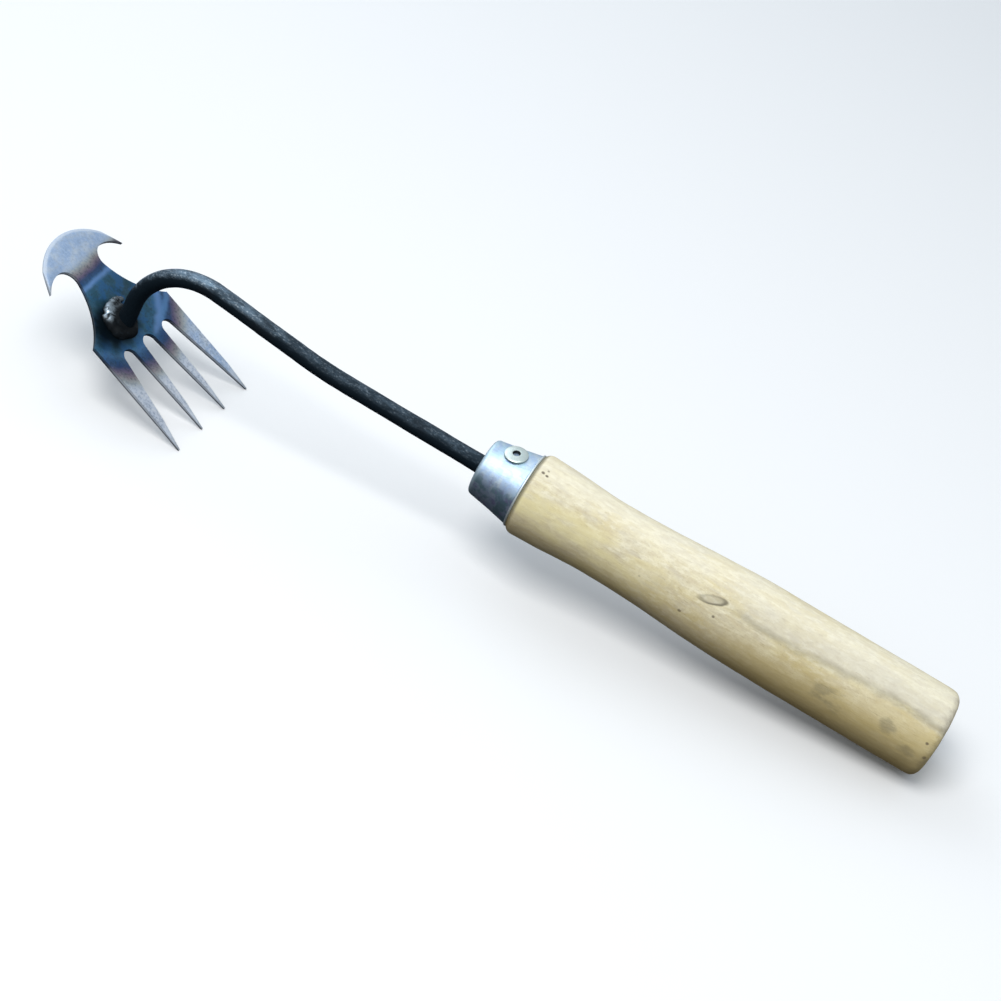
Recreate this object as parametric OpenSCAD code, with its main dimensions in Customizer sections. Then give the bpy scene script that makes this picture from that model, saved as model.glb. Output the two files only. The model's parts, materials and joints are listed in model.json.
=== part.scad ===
// Hand rake: a sheet steel head with four tines and a crescent hoe blade, welded
// to a bent round rod whose tang is driven into a turned wooden handle.
// Millimetres. The tool frame has its origin at the ferrule's front centre, +X along
// the handle to the butt and +Z on the side the rod arches to. stand() then sets the
// tool down, tine tips and butt on Z = 0, with the box centred on X and Y.

/* [Handle] */
// Visible length, from the ferrule's rear rim to the butt
handle_len = 151.2; // [130:0.2:200]
// Radius of the palm, the straight rear stretch
palm_r = 15.4; // [15:0.1:18]
// Radius of the waist, where finger and thumb close
waist_r = 13.25; // [12.5:0.05:14]
// Radius of the swell just behind the ferrule
swell_r = 14.35; // [14.1:0.05:16]
// Distance from the ferrule's front to the fullest part of the swell
swell_at = 23.5; // [22:0.5:28]
// Distance from the ferrule's front to the waist
waist_at = 47; // [40:1:60]
// Distance from the ferrule's front to the start of the palm
palm_at = 104; // [90:1:115]
// Rounding of the front edge, behind the ferrule
handle_round = 3; // [2.6:0.1:3.6]
// Rounding of the butt's edge
butt_round = 3.2; // [2:0.1:6]

/* [Ferrule] */
// Length of the ferrule
ferrule_len = 16.5; // [15:0.5:20]
// Outer radius at the front shoulder
ferrule_front_r = 10; // [9.5:0.1:10.5]
// Outer radius where the cone steepens
ferrule_mid_r = 11.15; // [11:0.05:11.6]
// Outer radius at the rear rim
ferrule_rear_r = 12.8; // [12.4:0.1:13]
// Distance from the front to where the cone steepens
ferrule_mid_at = 8.5; // [8:0.1:9]
// Rounding of the front shoulder
ferrule_round = 1.6; // [1.2:0.1:2.4]
// Sheet thickness
ferrule_wall = 0.8; // [0.6:0.1:1]
// Radius of the bead rolled round the rear rim
rim_bead_r = 0.45; // [0.3:0.05:0.6]

/* [Shank] */
// Diameter of the rod
rod_d = 6.5; // [6:0.1:7]
// Length of the tang inside the handle
tang_len = 78; // [60:1:90]
// Length of the tang's drawn point
tang_point = 9; // [5:0.5:14]
// Distance from the ferrule to the corner of the gentle upward bend
rise_at = 60.6; // [50:0.2:80]
// Slope of the rod after that bend, in degrees
rise_angle = 6.9; // [4:0.1:10]
// Centreline radius of the gentle bend
rise_bend_r = 130; // [90:1:160]
// Distance along the slope from that corner to the arch's corner
arch_at = 67.8; // [60:0.2:80]
// Centreline radius of the arch
arch_bend_r = 24.7; // [20:0.1:28]
// Slope of the leg below the arch, in degrees
leg_slope = 83.8; // [80:0.1:90]
// Distance along the leg from the arch's corner to the middle of the head plate
leg_len = 35.6; // [32:0.2:45]

/* [Head] */
// Thickness of the sheet
plate_t = 1.5; // [1.2:0.1:2]
// Downward slope of the head toward the tine tips, in degrees
head_slope = 25; // [20:0.5:30]
// Sideways distance from the rod to the head's centre line
head_off = 4; // [0:0.5:6]
// Width over the shoulders
shoulder_w = 45.2; // [44:0.2:46]
// Distance from the rod's foot to the tine tips
tine_reach = 43.4; // [38:0.2:50]
// Spacing of the tine tips
tine_pitch = 15.1; // [14.9:0.1:15.4]
// Width of a tine tip
tip_w = 0.6; // [0.4:0.1:1]
// Distance from the rod's foot to the bottom of the gaps between tines
gap_at = 6.8; // [6.5:0.1:9]
// Sideways place of the two outer gaps' round ends
side_gap_y = 12; // [11.6:0.1:12.4]
// Radius of the outer gaps' round ends
side_gap_r = 3.05; // [2.6:0.05:3.2]
// Radius of the middle gap's round end
mid_gap_r = 3.4; // [3:0.05:3.6]
// Width of the neck where the flanks run into the notches
neck_w = 15.1; // [14.4:0.1:16]
// Distance from the rod's foot forward to that place
neck_at = 20.2; // [19.8:0.1:20.8]
// Radius of the flank between shoulder and neck
flank_r = 33.2; // [28:0.2:40]
// Radius of the notch beside the neck, under the horn
notch_r = 5; // [4.5:0.1:5.2]
// Radius of the horn's rear edge
horn_r = 12.4; // [12:0.1:13]
// Distance from the rod's foot forward to the blade's cutting edge
blade_at = 36.8; // [36.4:0.1:38]
// Radius of the cutting edge
blade_r = 25; // [24.4:0.1:26]
// Half width of the cutting edge, up to where the horns are sheared straight
blade_half_w = 17.2; // [16.4:0.1:17.6]
// Half width over the horn tips
horn_half_w = 21.6; // [21:0.1:22]
// Width of the bevel ground on each face of the cutting edge
bevel_w = 1.6; // [1:0.1:2.5]
// Thickness left at the cutting edge
edge_land = 0.5; // [0.3:0.1:0.8]

/* [Weld] */
// Radius of the weld bead's ring
weld_ring_r = 4.6; // [4.2:0.1:4.8]
// Radius of the bead itself
weld_bead_r = 2.5; // [2:0.1:2.6]
// Distance that the bead is laid off the rod's axis, to the front and to the right
weld_off = 1.2; // [0:0.1:1.4]

/* [Rivet] */
// Diameter of the blind rivet's sleeve
rivet_d = 4; // [3.8:0.1:4.2]
// Diameter of its domed flange
flange_d = 8; // [7:0.1:8.5]
// Height of the flange
flange_h = 1.2; // [0.9:0.1:1.5]
// Height of the flange's straight rim
flange_rim = 0.3; // [0.2:0.05:0.4]
// Distance from the ferrule's front to the rivet
rivet_at = 8.6; // [8.5:0.1:9.4]
// Turn of the rivet round the handle, from the top to the right, in degrees
rivet_turn = 6.5; // [0:0.5:12]
// Length of the sleeve under the flange, as set
rivet_len = 6.4; // [5.6:0.1:6.6]
// Diameter of the bulb that the sleeve swells to at its blind end
bulb_d = 5.4; // [5:0.1:5.8]
// Diameter of the broken mandrel inside the sleeve
mandrel_d = 2.2; // [2:0.1:2.4]
// Depth of the mandrel's break below the top of the flange
break_depth = 1.6; // [1.3:0.1:2]

/* [Hidden] */
rod_r = rod_d / 2;
butt_x = ferrule_len + handle_len;
over = 1;
bend_lap = 0.3;
bend_thinning = 0.02;
turned_fn = 96;
round_fn = 64;
profile_steps = 14;
corner_steps = 8;
arc_steps = 18;

// Rod route, in the tool frame's XZ plane
arch_angle = rise_angle + leg_slope;
rise_setback = rise_bend_r * tan(rise_angle / 2);
arch_setback = arch_bend_r * tan(arch_angle / 2);
arch_corner = [-rise_at - arch_at * cos(rise_angle), arch_at * sin(rise_angle)];
foot = arch_corner - leg_len * [cos(leg_slope), sin(leg_slope)];

// Where the flange sits: on the ferrule's skin, square to it
rivet_slope = atan2(ferrule_rear_r - ferrule_front_r, ferrule_len);
rivet_z = ferrule_mid_r + (rivet_at - ferrule_mid_at)
    * (ferrule_rear_r - ferrule_mid_r) / (ferrule_len - ferrule_mid_at);

// Points that touch the ground, and the slope of the line under them
tip_low = foot + [cos(head_slope), -sin(head_slope)] * tine_reach
    - [sin(head_slope), cos(head_slope)] * plate_t / 2;
butt_edge = [butt_x - butt_round, butt_round - palm_r];
reach = butt_edge - tip_low;
stand_tilt = atan2(reach[1], reach[0]) - asin(butt_round / norm(reach));

// Box of the standing tool along X
blade_low = foot - [cos(head_slope), -sin(head_slope)] * blade_at
    - [sin(head_slope), cos(head_slope)] * edge_land / 2;
x_min = blade_low[0] * cos(stand_tilt) + blade_low[1] * sin(stand_tilt);
x_max = butt_edge[0] * cos(stand_tilt) - butt_edge[1] * sin(stand_tilt) + butt_round;
stand_z = tip_low[0] * sin(stand_tilt) - tip_low[1] * cos(stand_tilt);

steel = [0.66, 0.71, 0.77];
weld_grey = [0.36, 0.38, 0.4];
scale_black = [0.1, 0.11, 0.13];
zinc = [0.78, 0.81, 0.83];
wood = [0.86, 0.8, 0.68];
rivet_alloy = [0.82, 0.88, 0.86];
mandrel_steel = [0.3, 0.31, 0.33];

// Half a cosine wave from value a to value b, for t from 0 to 1
function ease(a, b, t) = a + (b - a) * (1 - cos(180 * t)) / 2;

// Profile points easing from [x0, r0] up to, but not including, [x1, r1]
function eased(x0, r0, x1, r1) =
    [for (i = [0:profile_steps - 1]) let (t = i / profile_steps)
        [x0 + (x1 - x0) * t, ease(r0, r1, t)]];

// Points of an arc about c, from angle a0 to angle a1
function arc(c, r, a0, a1, steps) =
    [for (i = [0:steps]) let (a = a0 + (a1 - a0) * i / steps)
        c + r * [cos(a), sin(a)]];

// Angle at which the tangent from m touches the circle (c, r), on side 1 or -1
function touch(c, r, m, side) =
    let (d = m - c)
        atan2(d[1], d[0]) + side * acos(r / norm(d));

// Angle of the way from p to q
function heading(p, q) = atan2(q[1] - p[1], q[0] - p[0]);

// Centre of the arc of radius r through p and q, to the left of the way from p to q
function arc_centre(p, q, r) =
    let (h = (q - p) / 2, rise = sqrt(r * r - h * h) / norm(h))
        p + h + rise * [-h[1], h[0]];

// Tool frame to standing frame
module stand() {
    translate([-(x_min + x_max) / 2, -head_off, stand_z])
        rotate([0, stand_tilt, 0])
            children();
}

// Turns a profile of [x, r] points about the X axis
module turned(points) {
    rotate([0, 90, 0])
        rotate_extrude($fn = turned_fn)
            polygon([for (p = points) [p[1], p[0]]]);
}

// ---- Head ----------------------------------------------------------------------

// The head plate's frame: origin on the rod's axis, +X to the tine tips, +Z up out of
// the plate. Its centre line is beside the rod.
module on_plate() {
    translate([foot[0], 0, foot[1]])
        rotate([0, head_slope, 0])
            children();
}

// Round end of a gap between tines, from the tangent to mouth a to that to mouth b
function gap_end(y, r, a, b) =
    let (c = [gap_at + r, y])
        arc(c, r, touch(c, r, a, -1) + 360, touch(c, r, b, 1), arc_steps);

// Where tine edges end: the tine number counts from the head's centre line
function tine_edge(tine, side) = [tine_reach, (2 * tine - 1) / 2 * tine_pitch + side * tip_w / 2];

// Outline of one half of the head, from the middle gap round to the cutting edge
function half_outline() =
    let (mid_gap = gap_end(0, mid_gap_r, tine_edge(0, 1), tine_edge(1, -1)),
         shoulder = [0, shoulder_w / 2],
         neck = [-neck_at, neck_w / 2],
         flank = arc_centre(neck, shoulder, flank_r),
         notch = neck + (flank - neck) * notch_r / flank_r,
         horn = notch + [horn_r - notch_r, 0],
         tip_angle = 180 - asin((horn_half_w - horn[1]) / horn_r),
         horn_tip = horn + horn_r * [cos(tip_angle), sin(tip_angle)],
         shear_end = [blade_r - blade_at - sqrt(pow(blade_r, 2) - pow(blade_half_w, 2)),
                      blade_half_w],
         clear = shear_end + (shear_end - horn_tip) / 2)
    concat(
        [for (i = [arc_steps / 2:arc_steps]) mid_gap[i]],
        [tine_edge(1, -1), tine_edge(1, 1)],
        gap_end(side_gap_y, side_gap_r, tine_edge(1, 1), tine_edge(2, -1)),
        [tine_edge(2, -1), tine_edge(2, 1)],
        arc(flank, flank_r, heading(flank, shoulder), heading(flank, neck), arc_steps),
        arc(notch, notch_r, heading(notch, neck), -180, arc_steps),
        [for (i = [1:arc_steps]) arc(horn, horn_r, 180, tip_angle, arc_steps)[i]],
        [clear, [-blade_at - over, clear[1]]]);

// Cuts the blade's round edge and grinds it thin from both faces
module grinding() {
    edge_slope = bevel_w / ((plate_t - edge_land) / 2);
    run_in = (plate_t - edge_land / 2) * edge_slope;
    translate([blade_r - blade_at, 0, 0])
        rotate(100)
            rotate_extrude(angle = 160, $fn = 2 * turned_fn)
                polygon([[blade_r - run_in, plate_t], [blade_r, edge_land / 2],
                         [blade_r, -edge_land / 2], [blade_r - run_in, -plate_t],
                         [2 * blade_r, -plate_t], [2 * blade_r, plate_t]]);
}

module rake_head() {
    half = half_outline();
    last = len(half) - 1;
    other_half = [for (i = [last:-1:1]) [half[i][0], -half[i][1]]];
    color(steel)
        stand()
            translate([0, head_off, 0])
                on_plate()
                    difference() {
                        translate([0, 0, -plate_t / 2])
                            linear_extrude(plate_t)
                                polygon(concat(half, other_half));
                        grinding();
                    }
}

// ---- Rod -----------------------------------------------------------------------

// A straight length of rod along -X, lapping a little into the bend at each end
module rod_straight(length) {
    translate([bend_lap, 0, 0])
        rotate([0, -90, 0])
            cylinder(r = rod_r, h = length + 2 * bend_lap, $fn = round_fn);
}

// A bend that starts along -X. turn > 0 turns the rod up, turn < 0 down. Bending draws
// the rod a hair thinner.
module rod_bend(radius, turn) {
    up = sign(turn);
    translate([0, 0, up * radius])
        rotate([90, 0, 0])
            rotate([0, 0, up > 0 ? 270 - turn : 90])
                rotate_extrude(angle = abs(turn), $fn = 2 * turned_fn)
                    translate([radius, 0])
                        circle(r = rod_r - bend_thinning, $fn = round_fn);
}

// Moves to the end of a bend, with -X along the rod again
module after_bend(radius, turn) {
    up = sign(turn);
    translate([-radius * sin(abs(turn)), 0, up * radius * (1 - cos(turn))])
        rotate([0, turn, 0])
            children();
}

// The straight rear of the rod, with its drawn point inside the handle
module tang() {
    translate([tang_len - tang_point, 0, 0]) {
        rod_straight(tang_len - tang_point + rise_at - rise_setback);
        rotate([0, 90, 0])
            cylinder(r1 = rod_r, r2 = rod_r / 3, h = tang_point, $fn = round_fn);
    }
}

// The whole rod, from the tang's point to inside the head plate
module bent_rod() {
    tang();
    translate([rise_setback - rise_at, 0, 0]) {
        rod_bend(rise_bend_r, rise_angle);
        after_bend(rise_bend_r, rise_angle) {
            rod_straight(arch_at - rise_setback - arch_setback);
            translate([rise_setback + arch_setback - arch_at, 0, 0]) {
                rod_bend(arch_bend_r, -arch_angle);
                after_bend(arch_bend_r, -arch_angle)
                    rod_straight(leg_len - arch_setback + rod_r);
            }
        }
    }
}

// Everything below the head plate's upper face
module below_plate() {
    on_plate()
        translate([-2 * blade_at, -blade_at, plate_t / 2 - 4 * blade_at])
            cube([4 * blade_at, 2 * blade_at, 4 * blade_at]);
}

module shank() {
    color(scale_black)
        stand()
            difference() {
                bent_rod();
                below_plate();
            }
}

module weld_bead() {
    color(weld_grey)
        stand()
            difference() {
                on_plate()
                    translate([-weld_off, -weld_off, plate_t / 2]) {
                        rotate_extrude($fn = round_fn)
                            translate([weld_ring_r, 0])
                                circle(r = weld_bead_r, $fn = round_fn / 2);
                        cylinder(r = weld_ring_r, h = 0.9 * weld_bead_r, $fn = round_fn);
                    }
                below_plate();
                bent_rod();
            }
}

// ---- Ferrule and rivet -----------------------------------------------------------

// Outer profile of the ferrule, from the rod hole out and back, inset by a margin
function ferrule_skin(inset) = concat(
    arc([ferrule_round, ferrule_front_r - ferrule_round], ferrule_round - inset,
        180, 98, corner_steps),
    [[ferrule_mid_at, ferrule_mid_r - inset], [ferrule_len, ferrule_rear_r - inset]]);

// Turns to the rivet's own frame: +Z out of the ferrule, origin on its skin
module at_rivet() {
    rotate([rivet_turn, 0, 0])
        translate([rivet_at, 0, rivet_z])
            rotate([0, -rivet_slope, 0])
                children();
}

module ferrule() {
    color(zinc)
        stand()
            difference() {
                union() {
                    turned(concat([[0, 0]], ferrule_skin(0), [[ferrule_len, 0]]));
                    translate([ferrule_len - rim_bead_r, 0, 0])
                        rotate([0, 90, 0])
                            rotate_extrude($fn = turned_fn)
                                translate([ferrule_rear_r - rim_bead_r / 2, 0])
                                    circle(r = rim_bead_r, $fn = round_fn / 4);
                }
                spigot();
                tang();
                at_rivet()
                    translate([0, 0, -rivet_d])
                        cylinder(d = rivet_d, h = 2 * rivet_d, $fn = round_fn);
            }
}

// The rivet's outside below its flange: sleeve and blind bulb
module rivet_room() {
    translate([0, 0, -rivet_len])
        cylinder(d = rivet_d, h = rivet_len, $fn = round_fn);
    translate([0, 0, bulb_d / 2 - rivet_len])
        sphere(d = bulb_d, $fn = round_fn);
}

// The mandrel: a pin broken off below the flange, with its head at the blind end
module mandrel() {
    head_r = mandrel_d * 0.85;
    translate([0, 0, -rivet_len - head_r / 2])
        cylinder(d = mandrel_d, h = rivet_len + head_r / 2 + flange_h - break_depth,
                 $fn = round_fn);
    translate([0, 0, -rivet_len - head_r / 2])
        cylinder(r = head_r, h = head_r / 2, $fn = round_fn);
}

module rivet_body() {
    flange_r = flange_d / 2;
    dome_h = flange_h - flange_rim;
    dome_r = (pow(flange_r, 2) + pow(dome_h, 2)) / (2 * dome_h);
    color(rivet_alloy)
        stand()
            at_rivet()
                difference() {
                    union() {
                        intersection() {
                            translate([0, 0, flange_h - dome_r])
                                sphere(r = dome_r, $fn = turned_fn);
                            cylinder(d = flange_d, h = 2 * flange_h, $fn = round_fn);
                        }
                        rivet_room();
                    }
                    translate([0, 0, -rivet_len - over])
                        cylinder(d = mandrel_d, h = rivet_len + flange_h + 2 * over,
                                 $fn = round_fn);
                }
}

module rivet_mandrel() {
    color(mandrel_steel)
        stand()
            at_rivet()
                mandrel();
}

// ---- Handle ----------------------------------------------------------------------

// The spigot that fills the ferrule
module spigot() {
    turned(concat([[ferrule_wall, 0]], ferrule_skin(ferrule_wall),
                  [[ferrule_len + over, ferrule_rear_r - ferrule_wall],
                   [ferrule_len + over, 0]]));
}

module handle() {
    shoulder = [ferrule_len + handle_round * cos(30), swell_r - handle_round];
    grip = concat(
        [[ferrule_len, 0]],
        arc(shoulder, handle_round, 150, 90, corner_steps),
        eased(swell_at, swell_r, waist_at, waist_r),
        eased(waist_at, waist_r, palm_at, palm_r),
        [[palm_at, palm_r]],
        arc([butt_x - butt_round, palm_r - butt_round], butt_round, 90, 0, corner_steps),
        [[butt_x, 0]]);
    color(wood)
        stand()
            difference() {
                union() {
                    turned(grip);
                    spigot();
                }
                tang();
                at_rivet() {
                    rivet_room();
                    mandrel();
                }
            }
}

rake_head();
weld_bead();
shank();
ferrule();
handle();
rivet_body();
rivet_mandrel();
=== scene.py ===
"""Finish of a small hand rake: its worn wood, zinc ferrule, black rod, weld and heat-tinted head."""

import json
import math
import random
from types import SimpleNamespace

import bpy
import numpy as np
from bpy.props import FloatProperty, FloatVectorProperty, IntProperty, PointerProperty
from mathutils import Matrix, Vector


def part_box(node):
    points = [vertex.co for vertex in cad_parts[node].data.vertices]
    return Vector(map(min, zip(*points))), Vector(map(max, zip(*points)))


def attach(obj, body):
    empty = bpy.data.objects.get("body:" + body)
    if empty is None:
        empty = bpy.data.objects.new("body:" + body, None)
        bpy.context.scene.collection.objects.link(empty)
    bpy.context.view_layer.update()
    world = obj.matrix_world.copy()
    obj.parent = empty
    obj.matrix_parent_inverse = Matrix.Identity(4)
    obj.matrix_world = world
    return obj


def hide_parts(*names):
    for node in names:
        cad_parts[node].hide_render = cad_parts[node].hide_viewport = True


bl_info = {
    "name": "Hand rake",
    "version": (1, 0, 0),
    "blender": (4, 5, 0),
    "location": "3D View > Sidebar > Hand rake",
    "description": "Makes the visible pieces of a hand rake and a plain stage around it",
    "category": "Object",
}

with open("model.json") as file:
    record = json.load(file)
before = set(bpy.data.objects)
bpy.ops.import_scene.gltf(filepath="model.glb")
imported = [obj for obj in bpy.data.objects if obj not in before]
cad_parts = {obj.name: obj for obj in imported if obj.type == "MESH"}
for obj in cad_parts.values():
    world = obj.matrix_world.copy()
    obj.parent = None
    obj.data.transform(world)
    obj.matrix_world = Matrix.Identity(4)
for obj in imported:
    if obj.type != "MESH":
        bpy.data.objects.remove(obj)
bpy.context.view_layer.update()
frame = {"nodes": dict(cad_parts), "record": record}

BODY = "root"
MM = 0.001


# ---- The tool's own axes ---------------------------------------------------------


def corners(node):
    """The corners of a CAD node as rows of x, y, z."""
    mesh = frame["nodes"][node].data
    found = np.empty(3 * len(mesh.vertices))
    mesh.vertices.foreach_get("co", found)
    return found.reshape(-1, 3)


def reach(node, direction):
    """Lowest and highest place of a CAD node along a direction."""
    along = corners(node) @ np.array(direction)
    return float(along.min()), float(along.max())


def axes(x, y, z, origin):
    """Matrix whose columns are three directions and an origin."""
    return Matrix.Translation(origin) @ Matrix((x, y, z)).transposed().to_4x4()


def tool_axes():
    """X along the handle to the butt, Z on the arch's side, origin at the ferrule's front."""
    palm = next(mount for mount in frame["record"]["mounts"] if mount["name"] == "palm")
    along = Vector(palm["axis"]).normalized()
    side = Vector((0, 1, 0))
    centre = Vector(palm["pos_m"])
    front = reach("ferrule", along)[0] - centre.dot(along)
    return axes(along, side, along.cross(side), centre + front * along)


def plate_axes():
    """X to the tine tips, Z out of the sheet, origin in mid sheet on the head's centre line."""
    out = max(frame["nodes"]["rake_head"].data.polygons, key=lambda face: face.area).normal.copy()
    if out.z < 0:
        out.negate()
    rod = corners("shank")
    height = rod @ np.array(out)
    ring = rod[height < height.min() + 0.01 * MM]
    foot = Vector((ring.min(0) + ring.max(0)) / 2)
    foot += (sum(reach("rake_head", out)) / 2 - foot.dot(out)) * out
    low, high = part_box("rake_head")
    side = Vector((0, 1, 0))
    return axes(side.cross(out), side, out, (foot.x, (low.y + high.y) / 2, foot.z))


def rivet_axes():
    """X out of the rivet's flange, origin at the middle of the flange's top."""
    pin = corners("rivet_mandrel")
    out = Vector(np.linalg.svd(pin - pin.mean(0))[2][0])
    if out.z < 0:
        out.negate()
    side = Vector((1, 0, 0)).cross(out).normalized()
    centre = Vector((pin.min(0) + pin.max(0)) / 2)
    top = reach("rivet_body", out)[1] - centre.dot(out)
    return axes(out, side, out.cross(side), centre + top * out)


TOOL = tool_axes()
PLATE = plate_axes()
RIVET = rivet_axes()


def rear_of(node):
    """How far back a CAD node reaches along the handle, in mm from the ferrule's front."""
    back = TOOL.col[0].xyz
    return (reach(node, back)[1] - TOOL.translation.dot(back)) / MM


ROD_SIDE = (TOOL.translation.y - PLATE.translation.y) / MM
FERRULE_REAR = rear_of("ferrule")
BUTT_AT = rear_of("handle")


# ---- Sizes and colours that a user would change -------------------------------------


def length(name, description, default, low=0.0):
    """A size in metres, given here in millimetres."""
    return FloatProperty(name=name, description=description, default=default * MM, min=low,
                         unit="LENGTH", subtype="DISTANCE", precision=5)


def angle(name, description, default):
    """An angle, given here in degrees."""
    return FloatProperty(name=name, description=description, default=math.radians(default),
                         unit="ROTATION", subtype="ANGLE")


def colour(name, description, default):
    """A colour in linear red, green and blue."""
    return FloatVectorProperty(name=name, description=description, default=default,
                               min=0, max=1, size=3, subtype="COLOR")


class HandleSettings(bpy.types.PropertyGroup):
    """The turned handle."""

    segments: IntProperty(name="Segments", description="Faces round the handle", default=128, min=32)
    ring_step: length("Ring step", "Distance between rings of faces", 1.0, 0.2 * MM)
    unevenness: length("Unevenness", "How far sanding has gone below the turned shape", 0.35)
    dent_depth: length("Dent depth", "Depth of the long dent by the grain line", 0.5)
    cream: colour("Cream", "Pale sanded wood", (0.77, 0.7, 0.5))
    straw: colour("Straw", "Yellower wood", (0.71, 0.61, 0.35))
    ash: colour("Ash", "Greyer, handled wood", (0.68, 0.62, 0.47))


class FerruleSettings(bpy.types.PropertyGroup):
    """The ferrule."""

    segments: IntProperty(name="Segments", description="Faces round the ferrule", default=128, min=32)
    wall: length("Wall", "Thickness of the sheet", 0.8)
    round: length("Front round", "Rounding of the front shoulder", 1.6)
    bead: length("Rim bead", "Radius of the bead round the rear rim", 0.45)
    zinc: colour("Zinc", "Bright plating", (0.56, 0.72, 0.92))
    worn: colour("Worn zinc", "Dull plating", (0.36, 0.42, 0.48))


class RodSettings(bpy.types.PropertyGroup):
    """The bent rod."""

    segments: IntProperty(name="Segments", description="Faces round the rod", default=48, min=16)
    radius: length("Radius", "Radius of the rod", 3.25)
    ring_step: length("Ring step", "Distance between rings of faces", 1.0, 0.2 * MM)
    forge_mark: length("Forge marks", "Depth of the dimples from hot bending", 0.12)
    scale: colour("Mill scale", "Black oxide", (0.006, 0.012, 0.018))
    # Painted sheen on the rod's top
    sheen: colour("Sheen", "Blue-grey where the oxide is rubbed", (0.16, 0.23, 0.3))


class WeldSettings(bpy.types.PropertyGroup):
    """The weld round the rod's foot."""

    voxel: length("Grain", "Size of the faces", 0.32, 0.1 * MM)
    ripple: length("Ripple", "Depth of the frozen ripples", 0.13)
    soot: colour("Soot", "Burnt flux", (0.004, 0.006, 0.008))
    bright: colour("Bright metal", "Bare weld metal", (0.5, 0.6, 0.68))


class HeadSettings(bpy.types.PropertyGroup):
    """The sheet steel head."""

    edge: length("Edge wear", "Width of the worn edge", 0.16)
    tip_from: length("Ground from", "Where the tines begin to thin, from the rod's foot", 33.0)
    tip_ground: length("Ground off", "Taken off the sheet's top at the tine tips", 0.95)
    silver: colour("Silver", "Steel beyond the heat", (0.5, 0.65, 0.88))
    cut: colour("Cut edge", "Sheared edge of the sheet", (0.5, 0.56, 0.64))


class RivetSettings(bpy.types.PropertyGroup):
    """The blind rivet."""

    segments: IntProperty(name="Segments", description="Faces round the rivet", default=64, min=24)
    alloy: colour("Alloy", "Rivet alloy", (0.74, 0.84, 0.8))
    pin: colour("Pin", "Broken steel pin", (0.06, 0.06, 0.065))


class StageSettings(bpy.types.PropertyGroup):
    """Floor, light and camera."""

    azimuth: angle("Azimuth", "Turn of the camera round the tool", 13.585)
    elevation: angle("Elevation", "Height of the camera's view above the floor", 37.386)
    roll: angle("Roll", "Turn of the camera about its own view", 17.089)
    distance: length("Distance", "Camera to the point that it looks at", 654.15)
    aim: FloatVectorProperty(name="Aim", description="Point that the camera looks at", size=3,
                             default=(0.00788, -0.004, 0.02504), subtype="XYZ", unit="LENGTH")
    lens: FloatProperty(name="Lens", description="Focal length in millimetres", default=72.42, min=20)
    floor_size: length("Floor", "Width of the floor", 12000)
    floor_colour: colour("Floor colour", "Plain pale floor", (0.9, 0.9, 0.9))
    key: FloatProperty(name="Key light", description="Power of the overhead light", default=6.5,
                       unit="POWER")
    sky: FloatProperty(name="Sky", description="Strength of the soft light all round", default=0.62)


# ---- Materials ------------------------------------------------------------------


class Value:
    """A socket of a material. Sums and products of values add their Math nodes."""

    def __init__(self, paint, socket):
        self.paint = paint
        self.socket = socket

    def _math(self, operation, first, second):
        return self.paint.node("ShaderNodeMath", {"operation": operation}, {0: first, 1: second})

    def __add__(self, other):
        return self._math("ADD", self, other)

    def __radd__(self, other):
        return self._math("ADD", other, self)

    def __sub__(self, other):
        return self._math("SUBTRACT", self, other)

    def __rsub__(self, other):
        return self._math("SUBTRACT", other, self)

    def __mul__(self, other):
        return self._math("MULTIPLY", self, other)

    def __rmul__(self, other):
        return self._math("MULTIPLY", other, self)

    def __truediv__(self, other):
        return self._math("DIVIDE", self, other)

    def __pow__(self, other):
        return self._math("POWER", self, other)

    def __abs__(self):
        return self._math("ABSOLUTE", self, 0)

    def most(self, other):
        """The larger of two values."""
        return self._math("MAXIMUM", self, other)

    def least(self, other):
        """The smaller of two values."""
        return self._math("MINIMUM", self, other)


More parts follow.
